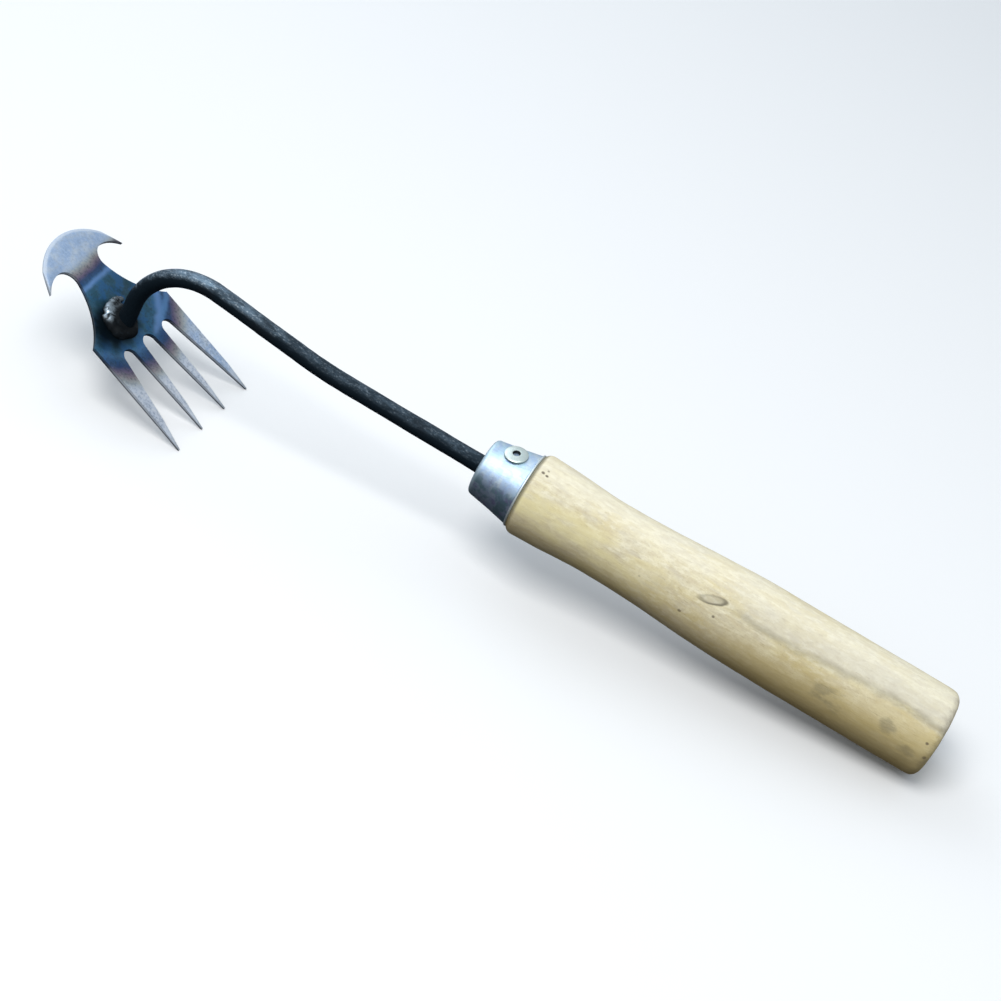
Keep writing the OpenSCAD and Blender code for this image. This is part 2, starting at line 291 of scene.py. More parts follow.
class Paint:
    """The nodes of one material, or of the world."""

    def __init__(self, owner):
        owner.use_nodes = True
        self.owner = owner
        self.tree = owner.node_tree
        self.tree.nodes.clear()

    def node(self, kind, settings=None, inputs=None, output=0):
        """A node of any kind: its settings first, then the values or links of its sockets."""
        made = self.tree.nodes.new(kind)
        for key, value in (settings or {}).items():
            if key == "stops":
                self._fill(made.color_ramp, value)
            else:
                setattr(made, key, value)
        for key, value in (inputs or {}).items():
            if isinstance(value, Value):
                self.tree.links.new(value.socket, made.inputs[key])
            else:
                made.inputs[key].default_value = value
        return Value(self, made.outputs[output]) if made.outputs else None

    @staticmethod
    def _fill(ramp, stops):
        while len(ramp.elements) < len(stops):
            ramp.elements.new(1)
        for element, (place, shade) in zip(ramp.elements, stops):
            element.position = place
            element.color = (*shade, 1)

    def place(self, origin):
        """Position in millimetres, seen from a set of axes."""
        inside = origin.inverted()
        return self.node("ShaderNodeMapping", {"vector_type": "POINT"}, {
            "Vector": self.node("ShaderNodeTexCoord", output="Object"),
            "Location": inside.translation / MM,
            "Rotation": inside.to_euler(),
            "Scale": (1 / MM,) * 3,
        })

    def parts(self, vector):
        """The three numbers of a vector."""
        split = self.node("ShaderNodeSeparateXYZ", None, {0: vector}).socket.node
        return [Value(self, socket) for socket in split.outputs]

    def stretch(self, vector, scale):
        """A vector with each of its numbers scaled."""
        return self.node("ShaderNodeVectorMath", {"operation": "MULTIPLY"}, {0: vector, 1: scale})

    def noise(self, vector, size, detail=3.0, rough=0.55, twist=0.0):
        """Soft noise from 0 to 1 whose lumps are about size across."""
        return self.node("ShaderNodeTexNoise", {"noise_dimensions": "3D"}, {
            "Vector": vector, "Scale": 1 / size, "Detail": detail, "Roughness": rough,
            "Distortion": twist})

    def fade(self, value, low, high):
        """0 below low, 1 above high, and smooth between."""
        return self.node("ShaderNodeMapRange", {"interpolation_type": "SMOOTHSTEP"}, {
            "Value": value, "From Min": low, "From Max": high})

    def bearing(self, right, up):
        """Degrees round the axis from straight up, growing to the right."""
        turn = self.node("ShaderNodeMath", {"operation": "ARCTAN2"}, {0: right, 1: up})
        return turn * math.degrees(1)

    def mix(self, factor, first, second):
        """One colour laid over another."""
        return self.node("ShaderNodeMix", {"data_type": "RGBA"},
                         {0: factor, 6: with_alpha(first), 7: with_alpha(second)}, 2)

    def ramp(self, value, stops):
        """A colour looked up along a row of stops."""
        return self.node("ShaderNodeValToRGB", {"stops": stops}, {0: value})

    def bump(self, height, strength=1.0):
        """The surface's normal over a height in millimetres."""
        return self.node("ShaderNodeBump", None, {
            "Height": height, "Distance": MM, "Strength": strength})

    def finish(self, **sockets):
        """The surface itself. Names are those of the shader's sockets, with _ for a space."""
        inputs = {name.replace("_", " "): value for name, value in sockets.items()}
        inputs["Base Color"] = with_alpha(inputs["Base Color"])
        shader = self.node("ShaderNodeBsdfPrincipled", None, inputs)
        self.node("ShaderNodeOutputMaterial", None, {"Surface": shader})
        return self.owner


def with_alpha(shade):
    """A colour that a socket takes."""
    return shade if isinstance(shade, Value) else (*shade, 1)


def distance(first, second):
    """Length of a line whose two parts lie at right angles."""
    return (first * first + second * second) ** 0.5


# Colours of the wood, in linear red, green and blue
WOOD = SimpleNamespace(
    honey=(0.86, 0.78, 0.5),
    late_grain=(0.52, 0.41, 0.21),
    ivory=(0.92, 0.86, 0.66),
    tan=(0.58, 0.48, 0.32),
    scratch=(0.5, 0.41, 0.22),
    fibre=(0.5, 0.42, 0.24),
    pore=(0.4, 0.31, 0.18),
    # Painted light on the handle's top
    painted_top_light=(0.95, 0.9, 0.75),
    ochre=(0.54, 0.42, 0.17),
    butter=(0.84, 0.75, 0.42),
    grey=(0.66, 0.62, 0.52),
    yellow=(0.68, 0.55, 0.26),
    line=(0.36, 0.32, 0.21),
    dent=(0.36, 0.33, 0.25),
    dent_rim=(0.17, 0.15, 0.1),
    speck=(0.12, 0.09, 0.06),
    smudge=(0.22, 0.19, 0.12),
    # Painted shade in the groove at the ferrule's rim, then along the bottom of the handle
    seam=(0.1, 0.09, 0.05),
    underside_shade=(0.34, 0.24, 0.09),
    butt_rim=(0.3, 0.24, 0.15),
    ring_pale=(0.66, 0.55, 0.34),
    ring_dark=(0.48, 0.37, 0.2),
    end_scratch=(0.38, 0.29, 0.16),
    end_grey=(0.44, 0.38, 0.27),
)

# One degree round the handle is this long on its surface, about 15 mm from the axis
MM_PER_DEGREE = math.radians(15)

# Middle of the long dent: mm from the ferrule's front, degrees from the top to the right
DENT_AT, DENT_FACING = 85.5, 48.9
DENT_HALF_LENGTH, DENT_HALF_WIDTH, DENT_SLANT = 4.2, 1.35, -18

# The wavy grain line: mm to its lowest place and mm for each radian of its wave, then its swing
# and its middle in degrees round the handle
LINE_LOWEST, LINE_WAVE = 107, 13.5
LINE_SWING, LINE_FACING = 4.8, 46.5

# Specks: mm from the ferrule's front, degrees from the top to the right, size in mm, darkness
SPECKS = (
    (19.4, 18.6, 0.55, 0.85),
    (21.0, 20.2, 0.5, 0.9),
    (20.6, 12.5, 0.35, 0.6),
    (78.2, 83.5, 0.55, 0.7),
    (88.2, 66.4, 0.5, 0.75),
    (62.0, 72.0, 0.4, 0.35),
    (163.9, 65.4, 0.5, 0.8),
    (165.6, 83.3, 0.6, 0.7),
    (46.0, 214.0, 0.5, 0.6),
    (121.0, 170.0, 0.6, 0.6),
    (139.0, -64.0, 0.5, 0.6),
    (52.0, -82.0, 0.45, 0.55),
)

# Smudges: mm from the ferrule's front, degrees from the top to the right, size in mm
SMUDGES = (
    (128.8, 74.9, 2.6),
    (132.8, 82.9, 2.2),
    (150.5, 73.8, 1.8),
    (160.0, 88.0, 2.0),
    (74.0, -70.0, 2.2),
    (140.0, -98.0, 2.6),
)


class WoodPaint(Paint):
    """The handle's paint, with the places and patterns that its layers share."""

    def __init__(self):
        super().__init__(bpy.data.materials.new("raw_wood"))
        self.spot = self.place(TOOL)
        self.along, self.side, self.up = self.parts(self.spot)
        self.turn = self.bearing(0 - self.side, self.up)
        self.grain = self.drawn_out(0.07, 1.1, 5, 0.65, 0.3)
        self.fibre = self.drawn_out(0.1, 0.32, 4, 0.7)
        self.pores = self.fade(self.drawn_out(0.16, 0.42, 2, 0.5), 0.64, 0.72)
        self.cloud = self.drawn_out(0.3, 7.5, 3, 0.55)
        self.blotch = self.drawn_out(0.42, 3.2, 4, 0.62)
        self.mottle = self.drawn_out(0.42, 1.5, 3, 0.6)
        self.sand = self.noise(self.spot, 0.7, 3, 0.65)

    def drawn_out(self, squeeze, *settings):
        """Noise along the grain: the smaller the squeeze, the longer its streaks."""
        return self.noise(self.stretch(self.spot, (squeeze, 1.0, 1.0)), *settings)

    def oval(self, at, facing, half_length, half_width, slant=0.0):
        """0 in the middle of an oval on the surface, 1 on its rim, and more beyond."""
        lean = math.radians(slant)
        ahead = self.along - at
        across = (self.turn - facing) * MM_PER_DEGREE
        long_way = (ahead * math.cos(lean) + across * math.sin(lean)) / half_length
        short_way = (across * math.cos(lean) - ahead * math.sin(lean)) / half_width
        return distance(long_way, short_way)

    def sanded(self, look):
        """Clouds of cream, straw and ash, then grain, fibre and pores."""
        base = self.mix(self.fade(self.cloud, 0.42, 0.66), look.cream, look.straw)
        base = self.mix(self.fade(self.blotch, 0.46, 0.66) * 0.85, base, look.ash)
        base = self.mix((1 - self.fade(self.blotch, 0.34, 0.46)) * 0.45, base, WOOD.honey)
        base = self.mix(self.fade(self.grain, 0.46, 0.72) * 0.38, base, WOOD.late_grain)
        base = self.mix(self.fade(self.mottle, 0.48, 0.64) * 0.5, base, WOOD.ivory)
        base = self.mix((1 - self.fade(self.mottle, 0.34, 0.46)) * 0.3, base, WOOD.tan)
        base = self.mix(self.fade(self.sand, 0.5, 0.66) * 0.22, base, WOOD.scratch)
        base = self.mix(self.fade(self.fibre, 0.5, 0.8) * 0.16, base, WOOD.fibre)
        return self.mix(self.pores * 0.25, base, WOOD.pore)

    def sides(self, base):
        """Paler on top, which is painted light; browner down the sides, partly painted shade and
        partly the wood's own tone; yellower toward the ferrule.
        """
        off_top = abs(self.turn)
        # Painted light: the top is mixed toward a pale colour
        base = self.mix((1 - self.fade(off_top, 8, 44)) * 0.4, base, WOOD.painted_top_light)
        # Painted shade, partly also the wood's own tone: browner down the flanks, more toward the
        # butt
        flank = self.fade(off_top + (self.cloud - 0.5) * 26 + (self.blotch - 0.5) * 20, 48, 84)
        toward_butt = 0.26 + 0.52 * self.fade(self.along, 76, 115)
        base = self.mix(flank * toward_butt, base, WOOD.ochre)
        early = self.fade(off_top, 34, 60) * (1 - self.fade(self.along, 40, 84))
        return self.mix(early * self.fade(self.cloud, 0.4, 0.6) * 0.7, base, WOOD.butter)

    def grain_line(self, base):
        """The long wavy grain line, with greyer wood above it and yellower wood below."""
        phase = (self.along - LINE_LOWEST) / LINE_WAVE
        wave = self.node("ShaderNodeMath", {"operation": "COSINE"}, {0: phase})
        wander = (self.noise(self.spot, 5.0, 2) - 0.5) * 7
        off = (self.turn - (wave * LINE_SWING + LINE_FACING) + wander) * MM_PER_DEGREE
        reached = self.fade(self.along, 84, 104)
        late = self.fade(self.along, 118, 150)
        above = (1 - self.fade(off, -1.2, 0.2)) * self.fade(off, -10, -5)
        below = self.fade(off, 0.2, 2.0) * (1 - self.fade(off, 6, 12))
        base = self.mix(above * reached * 0.45, base, WOOD.grey)
        base = self.mix(below * late * 0.5, base, WOOD.yellow)
        self.line = (1 - self.fade(abs(off + 0.3), 0.1, 2.1)) * reached
        return self.mix(self.line * (0.1 + self.blotch * 0.75), base, WOOD.line)

    def marks(self, base):
        """The long dent by the line, then specks and smudges."""
        dent = self.oval(DENT_AT, DENT_FACING, DENT_HALF_LENGTH, DENT_HALF_WIDTH, DENT_SLANT)
        dent = dent + (self.mottle - 0.5) * 0.35
        rim = self.fade(dent, 0.6, 0.98) * (1 - self.fade(dent, 1.02, 1.35))
        lower = self.fade(self.along + (self.turn - DENT_FACING) * 0.4, 82, 89)
        floor = (1 - self.fade(dent, 0.8, 1.2)) * (0.2 + lower * 0.4)
        base = self.mix(floor, base, WOOD.dent)
        base = self.mix(rim * (0.3 + lower * 0.6), base, WOOD.dent_rim)
        for at, facing, size, dark in SPECKS:
            mark = self.oval(at, facing, size * 1.2, size) + (self.mottle - 0.5) * 0.9
            base = self.mix((1 - self.fade(mark, 0.5, 1.25)) * dark, base, WOOD.speck)
        for at, facing, size in SMUDGES:
            mark = self.oval(at, facing, size * 1.7, size * 1.2) + (self.blotch - 0.5) * 4
            shade = (1 - self.fade(mark, 0.2, 1.3)) * (self.fibre + 0.25)
            base = self.mix(shade * 0.6, base, WOOD.smudge)
        return base

    def shade_and_dirt(self, base):
        """Painted shade in the groove where the wood meets the ferrule and along the bottom, and
        grime on the butt's rim.
        """
        # Painted shade in the groove at the ferrule's rim
        seam = 1 - self.fade(self.along, 16.9, 18.2)
        base = self.mix(seam * 0.75, base, WOOD.seam)
        # Painted shade along the bottom of the handle
        under = self.fade(self.turn, 72, 118) + self.fade(0 - self.turn, 95, 150)
        base = self.mix(under * (0.3 + 0.5 * self.cloud), base, WOOD.underside_shade)
        rim = self.fade(self.along, BUTT_AT - 5, BUTT_AT)
        rim = rim * self.fade(self.blotch + self.fibre * 0.5, 0.6, 0.95)
        return self.mix(rim * 0.5, base, WOOD.butt_rim)

    def end_grain(self, base):
        """Rings on the butt, about a heart beside the handle."""
        end = self.fade(self.along, BUTT_AT - 0.9, BUTT_AT - 0.25)
        from_heart = distance(self.side + 26, self.up - 9) + (self.cloud - 0.5) * 4
        ring = self.node("ShaderNodeMath", {"operation": "SINE"}, {0: from_heart * 4.6})
        rings = self.mix(self.fade(ring, -0.2, 1.0) * 0.5, WOOD.ring_pale, WOOD.ring_dark)
        rings = self.mix(self.fade(self.sand, 0.5, 0.7) * 0.45, rings, WOOD.end_scratch)
        rings = self.mix(self.fade(self.cloud, 0.5, 0.65) * 0.3, rings, WOOD.end_grey)
        rounded = self.fade(distance(self.side, self.up), 14.6, 15.3)
        self.ridges = end * ring
        return self.mix(end * (1 - rounded * 0.5), base, rings)


def wood(look):
    """Pale raw wood: long grain, patches of straw and ash, a dark grain line, a dent and specks."""
    paint = WoodPaint()
    base = paint.sides(paint.sanded(look))
    base = paint.marks(paint.grain_line(base))
    base = paint.end_grain(paint.shade_and_dirt(base))
    relief = paint.grain * 0.1 + paint.fibre * 0.09 + paint.mottle * 0.06 - paint.pores * 0.06
    relief = relief + paint.ridges * 0.04 - paint.line * 0.1
    return paint.finish(Base_Color=base, Roughness=0.62 + 0.25 * paint.blotch,
                        Specular_IOR_Level=0.3, Normal=paint.bump(relief, 0.8))


# Colours of the zinc, in linear red, green and blue
ZINC = SimpleNamespace(
    pale=(0.72, 0.82, 0.86),
    lilac=(0.42, 0.44, 0.62),
    blue=(0.44, 0.63, 0.98),
    mint=(0.62, 0.9, 0.95),
    # Painted shade and reflection on the lower half
    shaded=(0.19, 0.24, 0.33),
    green=(0.08, 0.19, 0.21),
    violet=(0.22, 0.19, 0.36),
    # Painted highlights on the rear rim and the front shoulder
    rim=(0.8, 0.85, 0.84),
    shoulder=(0.7, 0.86, 0.92),
    # Painted shade in the opening round the rod
    mouth_shade=(0.06, 0.07, 0.08),
)


def zinc(look):
    """Zinc plating on drawn sheet: turning marks and mottle, with painted shade and reflection on the
    lower half, painted shade in the opening round the rod, and painted highlights on the front
    shoulder and the rear rim.
    """
    paint = Paint(bpy.data.materials.new("zinc_plate"))
    spot = paint.place(TOOL)
    along, side, up = paint.parts(spot)
    cloud = paint.noise(paint.stretch(spot, (1.0, 0.6, 0.6)), 3.2, 4, 0.6)
    drawn = paint.noise(paint.stretch(spot, (0.16, 1.0, 1.0)), 0.7, 3, 0.6)
    tint = paint.noise(paint.stretch(spot, (1.0, 0.7, 0.7)), 4.2, 2, 0.5)
    fine = paint.noise(spot, 0.35, 3, 0.7)
    blot = paint.noise(spot, 2.2, 3, 0.6)
    base = paint.mix(paint.fade(cloud, 0.42, 0.68), look.zinc, ZINC.pale)
    base = paint.mix(paint.fade(drawn, 0.5, 0.75) * 0.35, base, look.worn)
    base = paint.mix(paint.fade(fine, 0.5, 0.72) * 0.35, base, ZINC.lilac)
    base = paint.mix(paint.fade(tint, 0.46, 0.66) * 0.4, base, ZINC.blue)
    base = paint.mix((1 - paint.fade(tint, 0.36, 0.5)) * 0.4, base, ZINC.mint)

    # Painted shade and reflection: the lower half is darkened, with green and violet mottle, for the
    # dark surroundings that it would reflect
    low = paint.fade(abs(paint.bearing(side, up)), 50, 86)
    green = paint.fade(paint.noise(spot, 3.4, 3), 0.46, 0.6) * low
    violet = paint.fade(blot, 0.5, 0.64) * low
    base = paint.mix(low * 0.76, base, ZINC.shaded)
    base = paint.mix(green * 0.6, base, ZINC.green)
    base = paint.mix(violet * 0.6, base, ZINC.violet)

    # Painted highlights: the rear rim's bead and the front shoulder are mixed paler
    rim = paint.fade(along, 15.55, 15.9)
    shoulder = 1 - paint.fade(along, 0.5, 2.0)
    # Painted shade in the opening round the rod
    mouth_shade = 1 - paint.fade(distance(side, up), 3.6, 4.6)
    base = paint.mix(rim * 0.8, base, ZINC.rim)
    base = paint.mix(shoulder * 0.5, base, ZINC.shoulder)
    base = paint.mix(mouth_shade * 0.7, base, ZINC.mouth_shade)
    rough = 0.38 + 0.22 * cloud + 0.12 * drawn + 0.08 * low
    relief = drawn * 0.03 + fine * 0.03 + cloud * 0.08 + blot * 0.06
    return paint.finish(Base_Color=base, Metallic=1.0, Roughness=rough,
                        Normal=paint.bump(relief, 0.6))


def mill_scale(look):
    """Black forged rod: oxide and pits, with a painted blue-grey sheen and painted bright flecks on
    top, stronger toward the arch.
    """
    glint_fleck = (0.5, 0.58, 0.65)
    dull_oxide = (0.012, 0.012, 0.014)
    paint = Paint(bpy.data.materials.new("mill_scale"))
    spot = paint.place(TOOL)
    along = paint.parts(spot)[0]
    patchy = paint.noise(paint.stretch(spot, (0.35, 1.0, 1.0)), 2.2, 5, 0.65, 0.4)
    flecks = paint.noise(paint.stretch(spot, (0.5, 1.0, 1.0)), 0.62, 4, 0.72)
    pits = paint.noise(spot, 0.5, 3, 0.6)
    large = paint.noise(spot, 9.0, 2, 0.5)
    # Painted sheen: the upward-facing side is mixed toward a lighter blue-grey, less toward the
    # ferrule
    facing_up = paint.parts(paint.node("ShaderNodeTexCoord", output="Normal"))[2]
    top = paint.fade(facing_up + (patchy - 0.5) * 0.5, 0.25, 1.0)
    sheen_toward_arch = 1 - paint.fade(along, -112, -62) * 0.72
    top_sheen = top * (0.42 + paint.fade(patchy + large * 0.3, 0.55, 0.8)).least(1) * sheen_toward_arch
    # Painted highlight: bright flecks only where the painted sheen lies
    bright = paint.fade(flecks, 0.52, 0.66) * (top_sheen * 1.3).least(1)
    base = paint.mix(top_sheen, look.scale, look.sheen)
    base = paint.mix(bright * 0.8, base, glint_fleck)
    base = paint.mix(paint.fade(large, 0.55, 0.7) * 0.3, base, dull_oxide)
    rough = 0.66 - top_sheen * 0.28 + (patchy - 0.5) * 0.2
    relief = patchy * 0.2 + flecks * 0.22 + pits * 0.1
    return paint.finish(Base_Color=base, Metallic=(0.15 + 0.9 * top_sheen).least(1), Roughness=rough,
                        Specular_IOR_Level=0.06, Normal=paint.bump(relief, 1.0))


def weld_metal(look):
    """Weld: sooty black round the rod, bright glassy metal on the ridge at the front."""
    flux_glass = (0.02, 0.03, 0.04)
    rust = (0.06, 0.035, 0.025)
    paint = Paint(bpy.data.materials.new("weld_metal"))
    spot = paint.place(PLATE)
    ahead, side, up = paint.parts(spot)
    ripple = paint.noise(spot, 1.9, 2, 0.5, 0.3)
    fine = paint.noise(spot, 0.5, 2, 0.6)
    turned_on = (ahead + (side - ROD_SIDE) * 0.45).least(ahead)
    front = 1 - paint.fade(turned_on + (ripple - 0.5) * 4, -7.4, -5.0)
    crest = front * paint.fade(up, 0.9, 1.9) * paint.fade(side, ROD_SIDE - 7.2, ROD_SIDE - 5.2)
    shine = 1 - paint.fade(side, ROD_SIDE - 4.5, ROD_SIDE - 0.5) * 0.6
    crest = crest * shine * (0.6 + paint.fade(ripple, 0.42, 0.62) * 0.4)
    base = paint.mix(paint.fade(ripple, 0.5, 0.75) * 0.4, look.soot, flux_glass)
    base = paint.mix(crest * paint.fade(ripple, 0.3, 0.55), base, look.bright)
    base = paint.mix(paint.fade(fine, 0.66, 0.78) * 0.4, base, rust)
    rough = 0.6 - crest * 0.34 + fine * 0.15
    return paint.finish(Base_Color=base, Metallic=0.3 + 0.65 * crest, Roughness=rough,
                        Specular_IOR_Level=0.15, Normal=paint.bump(ripple * 0.1 + fine * 0.05, 0.7))


# Temper colours from the weld outward: heat 1 is the dark violet line
TEMPER = (
    (0.30, (0.012, 0.035, 0.052)),
    (0.52, (0.026, 0.09, 0.145)),
    (0.72, (0.045, 0.135, 0.22)),
    (0.84, (0.06, 0.18, 0.32)),
    (0.94, (0.045, 0.12, 0.27)),
    (1.02, (0.05, 0.085, 0.2)),
    (1.08, (0.19, 0.15, 0.24)),
    (1.15, (0.36, 0.32, 0.34)),
    (1.23, (0.55, 0.58, 0.57)),
    (1.36, (0.58, 0.68, 0.82)),
)
TEMPER_TOP = 1.5

# Other colours of the head, in linear red, green and blue
STEEL = SimpleNamespace(
    pale=(0.68, 0.77, 0.88),
    tine=(0.88, 0.9, 0.95),
    dark_grit=(0.24, 0.32, 0.44),
    bright_grit=(1.0, 1.0, 1.0),
    haze=(0.14, 0.24, 0.3),
    oxide=(0.02, 0.035, 0.05),
    cobalt=(0.04, 0.15, 0.36),
    teal=(0.03, 0.08, 0.085),
    soot=(0.004, 0.008, 0.012),
    line=(0.2, 0.37, 0.7),
    streak=(0.17, 0.36, 0.66),
    tip=(0.12, 0.1, 0.085),
    torn=(0.07, 0.08, 0.09),
)


class SteelPaint(Paint):
    """The head's paint, with the places and patterns that its layers share."""

    def __init__(self):
        super().__init__(bpy.data.materials.new("tinted_steel"))
        self.spot = self.place(PLATE)
        self.ahead, self.side, self.up = self.parts(self.spot)
        self.drift = self.noise(self.spot, 9.0, 2, 0.5)
        self.cloud = self.noise(self.spot, 4.0, 4, 0.6)
        self.grit = self.noise(self.spot, 1.0, 3, 0.65)
        self.heat = self.reach_of_heat()
        self.wall = 1 - self.fade(abs(self.up), 0.5, 0.66)
        self.bare = self.wall * self.fade(self.heat, 0.95, 1.2)

    def reach_of_heat(self):
        """1 where the violet line lies: 20 mm up the neck, and 30 mm round toward the tines."""
        toward_blade = (0 - self.ahead - self.side * 0.06) / 20
        toward_tines = distance(self.ahead + 16.2, self.side - ROD_SIDE) / 30
        wander = (self.drift - 0.5) * 0.1 + (self.cloud - 0.5) * 0.05
        return toward_blade.most(toward_tines) + wander

    def silver(self, look):
        """Steel beyond the heat: gritty, and palest on the tines but the left one."""
        base = self.mix(self.fade(self.cloud, 0.4, 0.68), look.silver, STEEL.pale)
        pale = self.fade(self.ahead, 8, 16) * (1 - self.fade(self.side, 12, 20))
        base = self.mix(pale * 0.7, base, STEEL.tine)
        strong = 0.28 + 0.24 * self.fade(self.ahead, 0, 16)
        base = self.mix(self.fade(self.grit, 0.45, 0.68) * strong, base, STEEL.dark_grit)
        return self.mix((1 - self.fade(self.grit, 0.32, 0.47)) * strong, base, STEEL.bright_grit)

    def temper(self, silver):
        """The heat's colours, uneven in hue, running out into silver."""
        stops = [(place / TEMPER_TOP, shade) for place, shade in TEMPER]
        base = self.ramp(self.heat / TEMPER_TOP, stops)
        haze = self.fade(self.cloud + self.grit * 0.4, 0.5, 0.9)
        base = self.mix(haze * 0.22, base, STEEL.haze)
        base = self.mix(self.fade(self.grit, 0.46, 0.66) * 0.4, base, STEEL.oxide)
        dark_zone = 1 - self.fade(self.heat, 0.88, 1.0)
        hue = self.noise(self.stretch(self.spot, (0.8, 1.0, 1.0)), 4.6, 3, 0.6)
        base = self.mix(self.fade(hue, 0.5, 0.62) * dark_zone * 0.5, base, STEEL.cobalt)
        base = self.mix((1 - self.fade(hue, 0.38, 0.5)) * dark_zone * 0.4, base, STEEL.teal)
        beyond = self.fade(self.heat + (self.grit - 0.5) * 0.2, 1.18, 1.36)
        return self.mix(beyond, base, silver)

    def soot(self, base):
        """Soot close round the weld, thickest on the right."""
        near = distance((self.ahead + 1.5) / 8.5, (self.side + 8) / 12) + (self.cloud - 0.5) * 0.5
        return self.mix((1 - self.fade(near, 0.6, 1.25)) * 0.96, base, STEEL.soot)

    def blue_lines(self, base):
        """Pale blue line across the neck and the left roots, a streak across the left shoulder."""
        line = self.fade(self.heat, 0.8, 0.88) * (1 - self.fade(self.heat, 0.88, 0.96))
        line = line * self.fade(self.side - self.ahead * 0.9, -7, 0).most(0.22)
        base = self.mix(line * (0.45 + self.cloud * 0.75) * 0.9, base, STEEL.line)
        streak = abs(self.ahead + (self.side - 13) * 0.55 - 5.5 + (self.drift - 0.5) * 4)
        streak = (1 - self.fade(streak, 0.3, 2.2)) * self.fade(self.side, 8, 12)
        return self.mix(streak * 0.6, base, STEEL.streak)

    def ends(self, base):
        """Dark tine tips and horn ends."""
        tips = self.fade(self.ahead + (self.grit - 0.5) * 7, 38, 43)
        horns = self.fade(abs(self.side) + (self.cloud - 0.5) * 3, 18.6, 21.6)
        horns = horns * (1 - self.fade(self.ahead, -22, -18))
        return self.mix((tips * 0.8).most(horns * 0.45), base, STEEL.tip)

    def sheared_wall(self, base, look):
        """Paler wall where the sheet was sheared, torn and dark along its lower part."""
        base = self.mix(self.wall * 0.15 + self.bare * 0.55, base, look.cut)
        torn = (1 - self.fade(self.up + (self.grit - 0.5) * 0.4, -0.4, -0.1)) * self.wall
        return self.mix(torn * 0.8, base, STEEL.torn)


def tinted_steel(look):
    """Sheet steel with the heat's colours spreading from the weld, pale walls and dark tips."""
    paint = SteelPaint()
    base = paint.soot(paint.temper(paint.silver(look)))
    base = paint.ends(paint.blue_lines(base))
    base = paint.sheared_wall(base, look)
    brushed = paint.noise(paint.stretch(paint.spot, (1.0, 0.08, 1.0)), 0.5, 3, 0.6)
    rough = 0.32 + 0.16 * paint.cloud + 0.12 * paint.grit + 0.1 * paint.wall
    relief = paint.cloud * 0.05 + paint.grit * 0.035 + brushed * 0.012
    return paint.finish(Base_Color=base, Metallic=1 - 0.7 * paint.bare, Roughness=rough,
                        Normal=paint.bump(relief, 0.55))


def rivet_alloy(look):
    """Pale satin alloy, with painted shade on the flange's side."""
    polished = (0.88, 0.93, 0.88)
    flange_side_shade = (0.1, 0.15, 0.15)
    hole_shade = (0.05, 0.06, 0.06)
    paint = Paint(bpy.data.materials.new("rivet_alloy"))
    spot = paint.place(RIVET)
    out, side, ahead = paint.parts(spot)
    cloud = paint.noise(spot, 1.2, 3, 0.6)
    fine = paint.noise(spot, 0.3, 3, 0.6)
    radius = distance(side, ahead)
    base = paint.mix(paint.fade(cloud, 0.4, 0.7) * 0.5, look.alloy, polished)
    # Painted shade on the flange's side, toward its underside
    rim = paint.fade(radius, 3.6, 3.95) * (1 - paint.fade(out, -0.66, -0.5))
    base = paint.mix(rim * 0.75, base, flange_side_shade)
    hole = 1 - paint.fade(radius, 1.2, 1.5)
    base = paint.mix(hole, base, hole_shade)
    return paint.finish(Base_Color=base, Metallic=1.0, Roughness=0.34 + 0.16 * cloud,
                        Normal=paint.bump(cloud * 0.05 + fine * 0.02, 0.5))


def broken_pin(look):
    """Torn steel of the rivet's pin."""
    torn_steel = (0.16, 0.15, 0.14)
    paint = Paint(bpy.data.materials.new("broken_pin"))
    torn = paint.noise(paint.place(RIVET), 0.4, 4, 0.7)
    base = paint.mix(paint.fade(torn, 0.4, 0.7), look.pin, torn_steel)
    return paint.finish(Base_Color=base, Metallic=1.0, Roughness=0.5 + 0.2 * torn,
                        Normal=paint.bump(torn * 0.2, 1.0))


# ---- Modelling helpers -----------------------------------------------------------


def added(name):
    """The primitive that was just added, named, with its place moved into its mesh."""
    piece = bpy.context.object
    piece.name = piece.data.name = name
    bpy.ops.object.transform_apply(location=True, rotation=True, scale=True)
    return piece


def alone(piece):
    """Makes a piece the only selected one, and the active one."""
    bpy.ops.object.select_all(action="DESELECT")
    bpy.context.view_layer.objects.active = piece
    piece.select_set(True)


def settle(piece, origin):
    """Moves a piece that was made at the world's origin to a set of axes, and into its mesh."""
    piece.matrix_world = origin
    alone(piece)
    bpy.ops.object.transform_apply(location=True, rotation=True, scale=True)


def turned(name, profile, segments):
    """Turns a profile of (x, radius), in millimetres, about the X axis."""
    bpy.ops.object.select_all(action="DESELECT")
    x, radius = profile[0]
    bpy.ops.mesh.primitive_plane_add(size=MM, location=(x * MM, 0, radius * MM))
    piece = added(name)
    bpy.ops.object.mode_set(mode="EDIT")
    bpy.ops.mesh.select_all(action="SELECT")
    bpy.ops.mesh.merge(type="CENTER")
    for here, there in zip(profile, profile[1:]):
        step = ((there[0] - here[0]) * MM, 0, (there[1] - here[1]) * MM)
        bpy.ops.mesh.extrude_vertices_move(TRANSFORM_OT_translate={"value": step})
    bpy.ops.mesh.select_all(action="SELECT")
    bpy.ops.mesh.spin(steps=segments, angle=math.tau, center=(0, 0, 0), axis=(1, 0, 0))
    close(piece)
    return piece


def close(piece):
    """Merges doubled corners and turns all faces outward, then leaves edit mode."""
    bpy.ops.mesh.select_all(action="SELECT")
    bpy.ops.mesh.remove_doubles(threshold=0.002 * MM)
    bpy.ops.mesh.normals_make_consistent(inside=False)
    bpy.ops.object.mode_set(mode="OBJECT")


